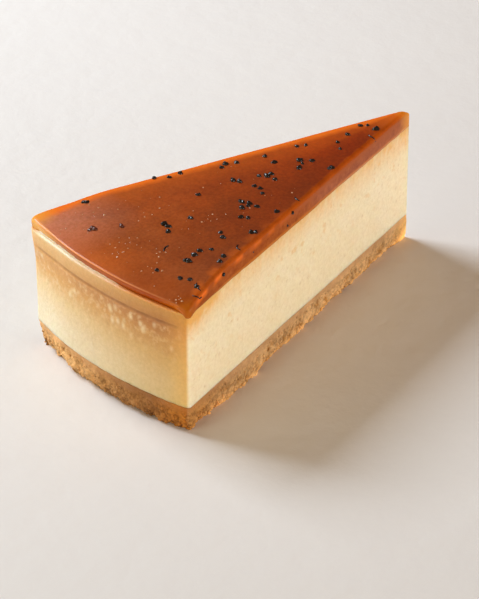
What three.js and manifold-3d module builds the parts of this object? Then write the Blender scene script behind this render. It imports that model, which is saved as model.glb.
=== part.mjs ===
import * as THREE from 'three';
import { mergeVertices } from 'three/addons/utils/BufferGeometryUtils.js';
import Module from 'manifold-3d';

// A slice of baked cheesecake: a crumb base, a pale baked filling and a caramel glaze with black specks.
// Millimetres, +Z up. The slice stands on z = 0, its rounded rim faces -X and it points along +X.

// Driving dimensions of the slice
const CAKE_RADIUS = 121;
const SLICE_ANGLE = THREE.MathUtils.degToRad(30.3);
const BASE_TOP = 8;
const FILLING_TOP = 37.75;
const GLAZE_TOP = 43.5;
const LAYER_GAP = 0.05;
const TIP_ROUND = 0.4;
const CORNER_ROUND = 1.2;
const CORNER_BLEND = 5; // how far from a cut face the rim's own edge shape is reached

// Crumb base: lumps in the sides, a worn lower edge, and the two uneven corners at the rim
const CRUMB_STEP = 1.4;
const LUMP_SIZE = 2.8;
const LUMP_DEPTH = 0.55;
const GRAIN_SIZE = 1.4;
const GRAIN_DEPTH = 0.25;
const LOWER_EDGE_WEAR = 0.9;
const LOWER_EDGE_WEAR_HEIGHT = 2.6;
const LOST_CRUMB_DEPTH = 1.7;
const LOST_CRUMB_REACH = 26;
const CRUMB_SPREAD = 1.4;
const CRUMB_SPREAD_CENTRE = 93; // along the cut face, from the pointed end
const CRUMB_SPREAD_REACH = 17;
const BASE_LEVELS = [0, 0.7, 1.6, 2.8, 4.1, 5.4, 6.6, 7.5, BASE_TOP];

// Filling: a shallow line round the rim, a rounded shoulder and a flare at the far corner
const WALL_STEP = 2.6;
const GROOVE_HEIGHT = 33;
const GROOVE_HALF_WIDTH = 0.55;
const GROOVE_DEPTH = 0.4;
const SHOULDER_ROUND = 0.5;
const FLARE_DEPTH = 0.95;
const FLARE_HEIGHT = 11;
const FLARE_REACH = 14;
const WALL_WAVE = 0.14;
const WALL_WAVE_SIZE = 14;

// Glaze: a thick sheet, rounded along its cut edges, that falls in a shallow curve to a thin lip at the rim
const CUT_EDGE_ROUND = 1.2;
const RIM_FOOT_INSET = 1.25; // the ledge of filling that shows below the glaze
const RIM_LIP_INSET = 0.3;
const RIM_LIP_ROUND = 0.4;
const RIM_FALL = 3.2;
const RIM_FALL_WIDTH = 25;
const FAR_CORNER_LIFT = 0.55; // share of the rim's fall that the far corner doesn't have
const FAR_CORNER_LIFT_REACH = 16;
const NEAR_CORNER_FALL = 0.4;
const NEAR_CORNER_FALL_REACH = 7;
const TIP_FALL = 0.9;
const TIP_FALL_REACH = 5;
const EDGE_ROUND_STEPS = 4;
const GLAZE_RINGS = [3, 6.5, 11, 16, 21]; // insets of the rings on the upper face

// Black specks: where each patch lies [from the pointed end, across, number of specks, spread]
const SPECK_PATCHES = [
  [17, 1, 3, 3.1], [30, 0, 3, 5.2], [40, 6.3, 2, 2.6], [45.5, -1.5, 4, 3.2],
  [41, -9, 2, 0.9], [50.5, 8.5, 2, 4.2], [57.5, 0.2, 4, 2.9], [63.5, -3.5, 3, 3],
  [61.5, 13, 3, 3.2], [66, 5, 2, 1.8], [72.5, -8, 5, 2.8], [77, -12.6, 2, 2],
  [69, -15.5, 1, 0], [81.5, -18.8, 2, 0.9], [89, -15.4, 2, 2.6], [88.5, -1.8, 1, 0],
  [78.5, 6, 1, 0], [78, 18.4, 3, 5.2], [96, -1, 3, 2.6], [98.2, -16, 3, 3.3],
  [103.8, -16.6, 2, 1], [98, -23.6, 2, 2.6], [108.8, -23.6, 3, 3.6], [111.7, -13.8, 1, 0],
  [103.8, 25.4, 2, 1], [104.6, 8.4, 1, 0], [110.4, 13.6, 2, 1.2],
];
const SPECK_RADIUS = 0.8;
const SPECK_SUNK = 0.3; // how much of a speck's radius its centre lies below the surface
const SPECK_EDGE = 1; // least distance from a speck's centre to a cut face
const SPECK_UNEVENNESS = 0.28;
const GOLDEN_ANGLE = Math.PI * (3 - Math.sqrt(5));

const HALF_ANGLE = SLICE_ANGLE / 2;
// The point as far from the rim as from both cut faces, which the outline shrinks towards
const CENTRE_FROM_TIP = CAKE_RADIUS / (1 + Math.sin(HALF_ANGLE));
const CENTRE_INSET = CAKE_RADIUS - CENTRE_FROM_TIP;
const CENTRE = new THREE.Vector2(-CENTRE_FROM_TIP, 0);

function smoothstep(value) {
  const share = THREE.MathUtils.clamp(value, 0, 1);
  return share * share * (3 - 2 * share);
}

// A number from 0 to 1 that depends only on three whole numbers
function hash(i, j, k) {
  const value = Math.sin(i * 127.1 + j * 311.7 + k * 74.7) * 43758.5453;
  return value - Math.floor(value);
}

// Smooth noise from -1 to 1 at a point given in units of the noise's own cell
function noise(x, y, z) {
  const cell = [Math.floor(x), Math.floor(y), Math.floor(z)];
  const weight = [smoothstep(x - cell[0]), smoothstep(y - cell[1]), smoothstep(z - cell[2])];
  let sum = 0;
  for (let corner = 0; corner < 8; corner += 1) {
    const step = [corner & 1, (corner >> 1) & 1, corner >> 2];
    const share = step.reduce((product, up, axis) => product * (up ? weight[axis] : 1 - weight[axis]), 1);
    sum += share * hash(cell[0] + step[0], cell[1] + step[1], cell[2] + step[2]);
  }
  return 2 * sum - 1;
}

// Distance from a point of the slice to the nearer cut face, with the pointed end at x = 0
function fromCutFace(x, y) {
  return -x * Math.sin(HALF_ANGLE) - Math.abs(y) * Math.cos(HALF_ANGLE);
}

function fromRim(x, y) {
  return CAKE_RADIUS - Math.hypot(x, y);
}

// Distance from a point to the nearer corner of the rim
function fromRimCorner(x, y) {
  const cornerX = CAKE_RADIUS * Math.cos(HALF_ANGLE);
  const cornerY = CAKE_RADIUS * Math.sin(HALF_ANGLE);
  return Math.hypot(x + cornerX, Math.abs(y) - cornerY);
}

// The slice seen from above, counter-clockwise: each point with its outward direction
// and how much of the rim's edge shape it has (0 on the cut faces, 1 on the rim)
function sliceOutline(step) {
  const points = [];
  const addPoint = (x, y, heading) => {
    const rimShare = smoothstep(fromCutFace(x, y) / CORNER_BLEND);
    points.push({ x, y, nx: Math.cos(heading), ny: Math.sin(heading), rimShare });
  };
  const addArc = (x, y, radius, from, to) => {
    const steps = Math.max(4, Math.ceil((radius * (to - from)) / step));
    for (let i = 0; i < steps; i += 1) {
      const heading = from + ((to - from) * i) / steps;
      addPoint(x + radius * Math.cos(heading), y + radius * Math.sin(heading), heading);
    }
  };
  const addCutFace = (side, from, to) => {
    const steps = Math.ceil(Math.abs(to - from) / step);
    for (let i = 0; i < steps; i += 1) {
      const along = from + ((to - from) * i) / steps;
      const heading = side * (Math.PI / 2 - HALF_ANGLE);
      addPoint(-along * Math.cos(HALF_ANGLE), side * along * Math.sin(HALF_ANGLE), heading);
    }
  };
  const square = Math.PI / 2 - HALF_ANGLE;
  const tipReach = TIP_ROUND / Math.tan(HALF_ANGLE);
  const cornerFromTip = CAKE_RADIUS - CORNER_ROUND;
  const cornerReach = Math.sqrt(cornerFromTip ** 2 - CORNER_ROUND ** 2);
  const cornerAngle = HALF_ANGLE - Math.asin(CORNER_ROUND / cornerFromTip);
  const cornerX = -cornerFromTip * Math.cos(cornerAngle);
  const cornerY = cornerFromTip * Math.sin(cornerAngle);
  addArc(-TIP_ROUND / Math.sin(HALF_ANGLE), 0, TIP_ROUND, -square, square);
  addCutFace(1, tipReach, cornerReach);
  addArc(cornerX, cornerY, CORNER_ROUND, square, Math.PI - cornerAngle);
  addArc(0, 0, CAKE_RADIUS, Math.PI - cornerAngle, Math.PI + cornerAngle);
  addArc(cornerX, -cornerY, CORNER_ROUND, Math.PI + cornerAngle, 2 * Math.PI - square);
  addCutFace(-1, cornerReach, tipReach);
  return points;
}

// An outline moved inwards by one distance on the cut faces and another on the rim,
// then out by the relief, at a height of its own for each point
function ringOf(outline, { cutInset, rimInset, height, relief }) {
  return outline.map((point) => {
    const inset = THREE.MathUtils.lerp(cutInset, rimInset, point.rimShare);
    const scale = 1 - inset / CENTRE_INSET;
    const x = CENTRE.x + (point.x - CENTRE.x) * scale;
    const y = CENTRE.y + (point.y - CENTRE.y) * scale;
    const z = height(x, y, point.rimShare);
    const out = relief ? relief(point, z) : 0;
    return new THREE.Vector3(x + point.nx * out, y + point.ny * out, z);
  });
}

// One closed solid from rings of equal length, lowest first, with a fan on each end
function solidOfRings(rings, bottomHeight, topHeight) {
  const count = rings[0].length;
  const vertices = rings.flat();
  const bottom = vertices.push(new THREE.Vector3(CENTRE.x, CENTRE.y, bottomHeight)) - 1;
  const top = vertices.push(new THREE.Vector3(CENTRE.x, CENTRE.y, topHeight)) - 1;
  const triangles = [];
  const lastRing = (rings.length - 1) * count;
  for (let i = 0; i < count; i += 1) {
    const next = (i + 1) % count;
    triangles.push(bottom, next, i);
    for (let start = 0; start < lastRing; start += count) {
      triangles.push(start + i, start + next, start + count + next);
      triangles.push(start + i, start + count + next, start + count + i);
    }
    triangles.push(top, lastRing + i, lastRing + next);
  }
  const geometry = new THREE.BufferGeometry().setFromPoints(vertices);
  geometry.setIndex(triangles);
  return geometry;
}

// How far the crumb base stands out from the outline at a point of its side
function crumbRelief(point, z) {
  const { x, y } = point;
  const lumps = LUMP_DEPTH * noise(x / LUMP_SIZE, y / LUMP_SIZE, z / LUMP_SIZE);
  const grains = GRAIN_DEPTH * noise(x / GRAIN_SIZE, y / GRAIN_SIZE, z / GRAIN_SIZE + 9);
  const up = z / BASE_TOP;
  const wear = LOWER_EDGE_WEAR * smoothstep(1 - z / LOWER_EDGE_WEAR_HEIGHT);
  const farCorner = y > 0 ? smoothstep(1 - fromRimCorner(x, y) / LOST_CRUMB_REACH) : 0;
  const lost = LOST_CRUMB_DEPTH * farCorner * (1 - up);
  const alongCut = Math.abs(-x / Math.cos(HALF_ANGLE) - CRUMB_SPREAD_CENTRE) / CRUMB_SPREAD_REACH;
  const nearSide = y < 0 ? smoothstep(1 - alongCut) * (1 - point.rimShare) : 0;
  const spread = CRUMB_SPREAD * nearSide * Math.sqrt(1 - up);
  const calmTop = 1 - 0.65 * smoothstep((z - 6) / 2);
  const calmTip = 0.25 + 0.75 * smoothstep((-x - 2) / 9);
  return ((lumps + grains) * calmTop - wear - lost + spread) * calmTip;
}

function crumbBaseGeometry() {
  const outline = sliceOutline(CRUMB_STEP);
  const rings = BASE_LEVELS.map((level) =>
    ringOf(outline, { cutInset: 0, rimInset: 0, height: () => level, relief: crumbRelief }));
  return solidOfRings(rings, 0, BASE_TOP);
}

// How far the filling stands out: long waves, the line round the rim and the flared far corner
function fillingRelief(point, z) {
  const { x, y } = point;
  const wave = WALL_WAVE * noise(x / WALL_WAVE_SIZE, y / WALL_WAVE_SIZE, z / WALL_WAVE_SIZE + 4);
  const calmTip = smoothstep((-x - 2) / 12);
  const groove = GROOVE_DEPTH * point.rimShare * smoothstep(1 - Math.abs(z - GROOVE_HEIGHT) / GROOVE_HALF_WIDTH);
  const farCorner = y > 0 ? smoothstep(1 - fromRimCorner(x, y) / FLARE_REACH) : 0;
  const flare = FLARE_DEPTH * farCorner * smoothstep(1 - (FILLING_TOP - z) / FLARE_HEIGHT);
  return wave * calmTip - groove + flare;
}

function fillingGeometry() {
  const outline = sliceOutline(WALL_STEP);
  const bottom = BASE_TOP + LAYER_GAP;
  const shoulder = FILLING_TOP - SHOULDER_ROUND;
  const levels = [
    bottom, 14, 20, 26, 31,
    GROOVE_HEIGHT - GROOVE_HALF_WIDTH, GROOVE_HEIGHT, GROOVE_HEIGHT + GROOVE_HALF_WIDTH,
    35.2, shoulder,
  ];
  const rings = levels.map((level) =>
    ringOf(outline, { cutInset: 0, rimInset: 0, height: () => level, relief: fillingRelief }));
  const shoulderSteps = 3;
  for (let i = 1; i <= shoulderSteps; i += 1) {
    const turn = (Math.PI / 2) * (i / shoulderSteps);
    const rimInset = SHOULDER_ROUND * (1 - Math.cos(turn));
    const level = shoulder + SHOULDER_ROUND * Math.sin(turn);
    rings.push(ringOf(outline, { cutInset: 0, rimInset, height: () => level, relief: fillingRelief }));
  }
  return solidOfRings(rings, bottom, FILLING_TOP);
}

// Height of the glaze's upper face before its edges are rounded: level, with a fall towards the rim that is
// smaller at the far corner and greater at the near one, and a small fall at the pointed end
function glazeLevel(x, y) {
  const rim = 1 - THREE.MathUtils.clamp(fromRim(x, y) / RIM_FALL_WIDTH, 0, 1);
  const far = y > 0 ? smoothstep(1 - fromRimCorner(x, y) / FAR_CORNER_LIFT_REACH) : 0;
  const near = y < 0 ? smoothstep(1 - fromRimCorner(x, y) / NEAR_CORNER_FALL_REACH) : 0;
  const tip = smoothstep(1 - Math.hypot(x, y) / TIP_FALL_REACH);
  const rimFall = RIM_FALL * rim * rim * (1 - FAR_CORNER_LIFT * far);
  return GLAZE_TOP - rimFall - NEAR_CORNER_FALL * near - TIP_FALL * tip;
}

// Height of the glaze's upper face near its cut edges too
function glazeSurface(x, y) {
  const intoRound = THREE.MathUtils.clamp(CUT_EDGE_ROUND - fromCutFace(x, y), 0, CUT_EDGE_ROUND);
  const drop = CUT_EDGE_ROUND - Math.sqrt(CUT_EDGE_ROUND ** 2 - intoRound ** 2);
  return glazeLevel(x, y) - drop;
}

function glazeSheetGeometry() {
  const outline = sliceOutline(WALL_STEP);
  const bottom = FILLING_TOP + LAYER_GAP;
  const foot = { cutInset: 0, rimInset: RIM_FOOT_INSET, height: () => bottom, relief: fillingRelief };
  const rings = [ringOf(outline, foot)];
  for (let i = 0; i <= EDGE_ROUND_STEPS; i += 1) {
    const turn = (Math.PI / 2) * (i / EDGE_ROUND_STEPS);
    const cutInset = CUT_EDGE_ROUND * (1 - Math.cos(turn));
    const rimInset = RIM_LIP_INSET + RIM_LIP_ROUND * (1 - Math.cos(turn));
    const drop = 1 - Math.sin(turn);
    const height = (x, y, rimShare) =>
      glazeLevel(x, y) - drop * THREE.MathUtils.lerp(CUT_EDGE_ROUND, RIM_LIP_ROUND, rimShare);
    const relief = (point) => fillingRelief(point, bottom);
    rings.push(ringOf(outline, { cutInset, rimInset, height, relief }));
  }
  for (const inset of GLAZE_RINGS) {
    const relief = (point) => fillingRelief(point, bottom) * (1 - inset / CENTRE_INSET);
    rings.push(ringOf(outline, { cutInset: inset, rimInset: inset, height: glazeLevel, relief }));
  }
  return solidOfRings(rings, bottom, GLAZE_TOP);
}

// Where the specks lie: each patch is filled by a spiral that turns by the golden angle
function speckPlaces() {
  const places = [];
  SPECK_PATCHES.forEach(([fromTip, across, count, spread], patch) => {
    for (let i = 0; i < count; i += 1) {
      const turn = patch * 1.7 + i * GOLDEN_ANGLE;
      const reach = spread * Math.sqrt(i / Math.max(1, count - 1));
      const x = -fromTip + reach * Math.cos(turn);
      const limit = (-x * Math.sin(HALF_ANGLE) - SPECK_EDGE) / Math.cos(HALF_ANGLE);
      const y = THREE.MathUtils.clamp(across + reach * Math.sin(turn), -limit, limit);
      const radius = SPECK_RADIUS * (0.75 + 0.5 * hash(patch, i, 5));
      places.push({ x, y, z: glazeSurface(x, y) - SPECK_SUNK * radius, radius });
    }
  });
  return places;
}

// One speck: a small lump whose radius varies from side to side
function speckGeometry({ x, y, z, radius }, number) {
  const lump = new THREE.SphereGeometry(radius, 6, 4);
  lump.deleteAttribute('normal');
  lump.deleteAttribute('uv');
  const merged = mergeVertices(lump);
  const position = merged.getAttribute('position');
  for (let i = 0; i < position.count; i += 1) {
    const vertex = new THREE.Vector3().fromBufferAttribute(position, i);
    vertex.multiplyScalar(1 + SPECK_UNEVENNESS * (2 * hash(number, i, 2) - 1));
    position.setXYZ(i, vertex.x, vertex.y, vertex.z);
  }
  merged.rotateX(Math.PI / 2);
  merged.rotateZ(number);
  merged.translate(x, y, z);
  return merged;
}

const wasm = await Module();
wasm.setup();

function manifoldOf(geometry) {
  const vertProperties = new Float32Array(geometry.getAttribute('position').array);
  const triVerts = new Uint32Array(geometry.getIndex().array);
  return new wasm.Manifold(new wasm.Mesh({ numProp: 3, vertProperties, triVerts }));
}

function geometryOf(manifold) {
  const { vertProperties, triVerts } = manifold.getMesh();
  const geometry = new THREE.BufferGeometry();
  geometry.setAttribute('position', new THREE.BufferAttribute(vertProperties, 3));
  geometry.setIndex(new THREE.BufferAttribute(triVerts, 1));
  return geometry;
}

// The glaze with its specks fused on
function glazeGeometry() {
  let glaze = manifoldOf(glazeSheetGeometry());
  speckPlaces().forEach((place, number) => {
    glaze = glaze.add(manifoldOf(speckGeometry(place, number)));
  });
  return geometryOf(glaze);
}

const crumbMaterial = new THREE.MeshStandardMaterial({ color: 0xb98550, roughness: 0.9, metalness: 0 });
const fillingMaterial = new THREE.MeshStandardMaterial({ color: 0xf0dcae, roughness: 0.55, metalness: 0 });
const glazeMaterial = new THREE.MeshStandardMaterial({ color: 0x9c4f22, roughness: 0.15, metalness: 0 });

function layer(name, geometry, material) {
  geometry.computeVertexNormals();
  const mesh = new THREE.Mesh(geometry, material);
  mesh.name = name;
  return mesh;
}

const slice = new THREE.Group();
slice.add(layer('crumb_base', crumbBaseGeometry(), crumbMaterial));
slice.add(layer('filling', fillingGeometry(), fillingMaterial));
slice.add(layer('glaze', glazeGeometry(), glazeMaterial));

// The origin goes to the middle of the slice's footprint
const middle = new THREE.Box3().setFromObject(slice).getCenter(new THREE.Vector3());
slice.position.set(-middle.x, -middle.y, 0);

export default slice;
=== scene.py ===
"""A slice of baked cheesecake: crumb base, baked filling browned at the rim, caramel glaze and black specks.

Sizes are millimetres unless a name says otherwise, and meshes are made in metres. Shapes are worked out in the
slice's own frame, whose origin is the pointed end, with the rounded rim at -X, and are then moved to where the
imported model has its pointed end. Colours written as three numbers are linear light.
"""

import math
from functools import reduce

import bpy
import numpy as np
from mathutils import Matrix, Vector


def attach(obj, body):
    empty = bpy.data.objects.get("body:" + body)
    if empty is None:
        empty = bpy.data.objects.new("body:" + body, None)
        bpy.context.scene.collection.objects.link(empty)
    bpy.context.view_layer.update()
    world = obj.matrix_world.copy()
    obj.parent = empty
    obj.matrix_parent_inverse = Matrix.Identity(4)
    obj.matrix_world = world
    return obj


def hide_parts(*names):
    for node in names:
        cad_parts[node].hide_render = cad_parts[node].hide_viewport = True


bl_info = {
    "name": "Baked cheesecake slice",
    "version": (1, 0, 0),
    "blender": (4, 5, 0),
    "location": "3D View > Sidebar > Cheesecake",
    "description": "Builds a glazed slice of baked cheesecake with its crumb base, filling, glaze and specks",
    "category": "Add Mesh",
}

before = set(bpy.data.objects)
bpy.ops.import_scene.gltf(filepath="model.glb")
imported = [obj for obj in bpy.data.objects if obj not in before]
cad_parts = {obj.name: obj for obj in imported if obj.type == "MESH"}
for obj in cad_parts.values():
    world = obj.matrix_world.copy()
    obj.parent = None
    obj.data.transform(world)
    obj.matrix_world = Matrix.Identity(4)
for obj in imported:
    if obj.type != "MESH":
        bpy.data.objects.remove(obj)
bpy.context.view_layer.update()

MM = 0.001

# The slice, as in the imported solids
CAKE_RADIUS = 121.0
SLICE_ANGLE = math.radians(30.3)
BASE_TOP = 8.0
FILLING_TOP = 37.75
GLAZE_TOP = 43.5
TIP_ROUND = 0.4
CORNER_ROUND = 1.2
CORNER_BLEND = 5.0

HALF_ANGLE = SLICE_ANGLE / 2
CENTRE_FROM_TIP = CAKE_RADIUS / (1 + math.sin(HALF_ANGLE))
CENTRE_INSET = CAKE_RADIUS - CENTRE_FROM_TIP
RIM_CORNER = (-CAKE_RADIUS * math.cos(HALF_ANGLE), CAKE_RADIUS * math.sin(HALF_ANGLE))

# The slice's two sides, as signs of y
NEAR = -1
FAR = 1

# Crumb base
LUMP_SIZE = 2.8
LUMP_DEPTH = 0.55
GRAIN_SIZE = 1.4
GRAIN_DEPTH = 0.25
LOWER_EDGE_WEAR = 0.9
LOWER_EDGE_WEAR_HEIGHT = 2.6
LOST_CRUMB_DEPTH = 1.7
LOST_CRUMB_REACH = 26.0
CRUMB_SPREAD = 1.4
CRUMB_SPREAD_CENTRE = 93.0
CRUMB_SPREAD_REACH = 17.0
CRUMB_RING_STEP = 0.26
COARSE_CRUMB = 1.5
COARSE_CRACK_WIDTH = 0.35
COARSE_CRACK_DEPTH = 0.3
COARSE_STEP_DEPTH = 0.5
FINE_CRUMB = 0.8
FINE_CRACK_WIDTH = 0.4
FINE_CRACK_DEPTH = 0.16
FINE_STEP_DEPTH = 0.14
TOASTED_REACH = 28.0

# Filling
WALL_RING_STEP = 0.45
GROOVE_HEIGHT = 33.0
GROOVE_HALF_WIDTH = 0.55
GROOVE_DEPTH = 0.4
SHOULDER_ROUND = 0.5
FLARE_DEPTH = 0.95
FLARE_HEIGHT = 11.0
FLARE_REACH = 14.0
LEDGE_START = 0.55
LEDGE_END = 1.35
LEDGE_BEAD_INSET = 0.9
LEDGE_BEAD_HALF_WIDTH = 0.45
LEDGE_BEAD_HEIGHT = 0.75
LEDGE_BEAD_SIZE = 1.3
WALL_WAVE = 0.14
WALL_WAVE_SIZE = 14.0
BLISTER_WIDTH = 2.7
BLISTER_HEIGHT = 4.4
BLISTER_RISE = 0.12
PIT_SPACING = 2.3
PIT_DEPTH = 0.22
SKIN_SIZE = 0.9
SKIN_DEPTH = 0.018
RIM_SKIN_DEPTH = 0.02

# Glaze
CUT_EDGE_ROUND = 1.2
RIM_FOOT_INSET = 1.15
RIM_LIP_INSET = 0.3
RIM_LIP_ROUND = 0.4
FAR_CORNER_BLEND = 1.8
RIM_FALL = 3.2
RIM_FALL_WIDTH = 25.0
FAR_CORNER_LIFT = 0.2
FAR_CORNER_LIFT_REACH = 16.0
NEAR_CORNER_FALL = 0.4
NEAR_CORNER_FALL_REACH = 7.0
TIP_FALL = 0.9
TIP_FALL_REACH = 5.0
SIDE_RINGS = 8
ROUND_RINGS = 13
TOP_START = 1.8
DRIP_DEPTH = 0.9
DRIP_REACH = 4.0
FOOT_WANDER = 0.14
FOOT_WANDER_SIZE = 3.1
TOP_RIPPLE = 0.015
TOP_RIPPLE_SIZE = 11.0
CUT_BULGE = 0.12
CORNER_BULGE = 0.1
CORNER_BULGE_REACH = 5.0

# Black specks: where each patch lies [from the pointed end, across, number of specks, spread]
SPECK_PATCHES = [
    [17, 1, 3, 3.1], [30, 0, 3, 5.2], [40, 6.3, 2, 2.6], [45.5, -1.5, 4, 3.2],
    [41, -9, 2, 0.9], [50.5, 8.5, 2, 4.2], [57.5, 0.2, 4, 2.9], [63.5, -3.5, 3, 3],
    [61.5, 13, 3, 3.2], [66, 5, 2, 1.8], [72.5, -8, 5, 2.8], [77, -12.6, 2, 2],
    [69, -15.5, 1, 0], [81.5, -18.8, 2, 0.9], [89, -15.4, 2, 2.6], [88.5, -1.8, 1, 0],
    [78.5, 6, 1, 0], [78, 18.4, 3, 5.2], [96, -1, 3, 2.6], [98.2, -16, 3, 3.3],
    [103.8, -16.6, 2, 1], [98, -23.6, 2, 2.6], [108.8, -23.6, 3, 3.6], [111.7, -13.8, 1, 0],
    [103.8, 25.4, 2, 1], [104.6, 8.4, 1, 0], [110.4, 13.6, 2, 1.2],
]
SPECK_RADIUS = 0.8
SPECK_SUNK = 0.3
SPECK_EDGE = 1.0
BROWN_SPECKS = 3
GOLDEN_ANGLE = math.pi * (3 - math.sqrt(5))

# Specks stuck to the glaze's near cut side [from the pointed end, height, radius]
SIDE_SPECKS = [[67.3, 42.3, 0.55], [70.1, 39.7, 0.5], [103.3, 41.6, 0.5], [88.0, 40.6, 0.3]]

# Bubbles in the glaze's skin: where each patch lies [from the pointed end, across, number of bubbles, spread]
BUBBLE_PATCHES = [
    [114.8, 20, 6, 2.8], [105.2, 19.5, 6, 4], [109.5, 1.5, 11, 4.2], [113.6, -0.4, 5, 1.8],
    [105.9, -8.6, 6, 2.4], [85.4, -5.5, 5, 2.6], [115.9, -27.1, 6, 1.3], [112.1, -12.1, 6, 3.2],
    [111.5, 13.7, 5, 2.2], [96, 9, 5, 5],
]

# Dark slivers that lie on the glaze [from the pointed end, across, length, heading in degrees, bend]
SLIVERS = [
    [103.7, -8.7, 3.0, 20, 0.5], [109.2, -27.6, 3.6, 65, 0.5], [111.6, -29.5, 2.8, 150, 0.6],
    [89.2, -22.3, 3.0, 60, 0.8], [60.0, -14.6, 2.6, 80, 0.4], [20.5, -4.3, 3.0, 95, 0.4],
]
SLIVER_RADIUS = 0.2
SLIVER_RINGS = 17
SLIVER_SIDES = 8


def tip_place():
    """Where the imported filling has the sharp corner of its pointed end: its furthest vertex along +X,
    moved on by what the small round takes off."""
    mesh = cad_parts["filling"].data
    flat = np.empty(len(mesh.vertices) * 3)
    mesh.vertices.foreach_get("co", flat)
    points = flat.reshape(-1, 3) / MM
    apex = points[points[:, 0].argmax()]
    return np.array([apex[0] + TIP_ROUND / math.sin(HALF_ANGLE) - TIP_ROUND, apex[1], 0.0])


TIP = tip_place()


def smoothstep(value):
    """3t squared minus 2t cubed, with t held between 0 and 1."""
    share = np.clip(value, 0.0, 1.0)
    return share * share * (3 - 2 * share)


def hash01(i, j, k):
    """The part after the point of 43758.5453 times the sine of 127.1 i + 311.7 j + 74.7 k."""
    value = np.sin(i * 127.1 + j * 311.7 + k * 74.7) * 43758.5453
    return value - np.floor(value)


def lattice_noise(x, y, z):
    """Smooth noise from -1 to 1: hashed values at the whole numbers round a point, blended by smoothstep."""
    cell = [np.floor(x), np.floor(y), np.floor(z)]
    weight = [smoothstep(x - cell[0]), smoothstep(y - cell[1]), smoothstep(z - cell[2])]
    total = 0.0
    for corner in range(8):
        step = (corner & 1, (corner >> 1) & 1, corner >> 2)
        share = 1.0
        for axis in range(3):
            share = share * (weight[axis] if step[axis] else 1 - weight[axis])
        total = total + share * hash01(cell[0] + step[0], cell[1] + step[1], cell[2] + step[2])
    return 2 * total - 1


def nearest_cell(x, y, z):
    """Distance to the nearest of one random point in each unit cell, the gap to the second nearest,
    and a random number of the nearest one's cell."""
    base = [np.floor(x), np.floor(y), np.floor(z)]
    first = np.full(np.shape(x), 9.0)
    second = np.full(np.shape(x), 9.0)
    label = np.zeros(np.shape(x))
    for step in np.ndindex(3, 3, 3):
        cell = [base[axis] + step[axis] - 1 for axis in range(3)]
        away = [hash01(cell[a], cell[(a + 1) % 3], cell[(a + 2) % 3] + 17 * a) for a in range(3)]
        reach = np.sqrt(
            (cell[0] + away[0] - x) ** 2 + (cell[1] + away[1] - y) ** 2 + (cell[2] + away[2] - z) ** 2
        )
        nearer = reach < first
        second = np.where(nearer, first, np.minimum(second, reach))
        label = np.where(nearer, hash01(cell[1], cell[2], cell[0]), label)
        first = np.where(nearer, reach, first)
    return first, second - first, label


def from_cut_face(x, y):
    """Distance to the nearer cut face: -x times the half angle's sine, less the size of y times its cosine."""
    return -x * math.sin(HALF_ANGLE) - np.abs(y) * math.cos(HALF_ANGLE)


def from_rim(x, y):
    """The cake's radius less the distance from the pointed end."""
    return CAKE_RADIUS - np.hypot(x, y)


def rim_colour_share(x, y):
    """0 on the cut faces and 1 on the rim, with the change inside the corner's small round."""
    return smoothstep((from_cut_face(x, y) - 0.1) / 0.9)


def corner_share(x, y, side, reach, start=0.0):
    """1 within start of the rim's corner on one side, falling by smoothstep to 0 at reach from it."""
    distance = np.hypot(x - RIM_CORNER[0], np.abs(y) - RIM_CORNER[1])
    return np.where(y * side > 0, smoothstep((reach - distance) / (reach - start)), 0)


def past_tip(x, reach, start=2.0):
    """0 within start of the pointed end, rising by smoothstep to 1 over the next reach."""
    return smoothstep((-x - start) / reach)


def slice_outline(step):
    """The slice from above, counter-clockwise, in even steps: a small arc at the pointed end, a cut face, a
    corner arc, the rim's arc, a corner arc and the other cut face. Holds x, y, outward x, outward y and the
    share of the rim's edge shape, 0 on the cut faces and 1 on the rim."""
    square = math.pi / 2 - HALF_ANGLE
    tip_reach = TIP_ROUND / math.tan(HALF_ANGLE)
    corner_from_tip = CAKE_RADIUS - CORNER_ROUND
    corner_reach = math.sqrt(corner_from_tip**2 - CORNER_ROUND**2)
    corner_angle = HALF_ANGLE - math.asin(CORNER_ROUND / corner_from_tip)
    corner_x = -corner_from_tip * math.cos(corner_angle)
    corner_y = corner_from_tip * math.sin(corner_angle)

    def arc(x, y, radius, start, end):
        steps = max(6, math.ceil(radius * (end - start) / step))
        heading = start + (end - start) * np.arange(steps) / steps
        return x + radius * np.cos(heading), y + radius * np.sin(heading), heading

    def cut_face(side, start, end):
        steps = math.ceil(abs(end - start) / step)
        along = start + (end - start) * np.arange(steps) / steps
        heading = np.full(steps, side * square)
        return -along * math.cos(HALF_ANGLE), side * along * math.sin(HALF_ANGLE), heading

    stretches = [
        arc(-TIP_ROUND / math.sin(HALF_ANGLE), 0, TIP_ROUND, -square, square),
        cut_face(FAR, tip_reach, corner_reach),
        arc(corner_x, corner_y, CORNER_ROUND, square, math.pi - corner_angle),
        arc(0, 0, CAKE_RADIUS, math.pi - corner_angle, math.pi + corner_angle),
        arc(corner_x, -corner_y, CORNER_ROUND, math.pi + corner_angle, 2 * math.pi - square),
        cut_face(NEAR, corner_reach, tip_reach),
    ]
    x, y, heading = (np.concatenate(column) for column in zip(*stretches))
    rim = smoothstep(from_cut_face(x, y) / CORNER_BLEND)
    return {"x": x, "y": y, "nx": np.cos(heading), "ny": np.sin(heading), "rim": rim}


def shrink(outline, inset):
    """The outline moved in by inset: scaled about the slice's inner centre by 1 less inset over its reach."""
    scale = 1 - inset / CENTRE_INSET
    return -CENTRE_FROM_TIP + (outline["x"] + CENTRE_FROM_TIP) * scale, outline["y"] * scale


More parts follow.
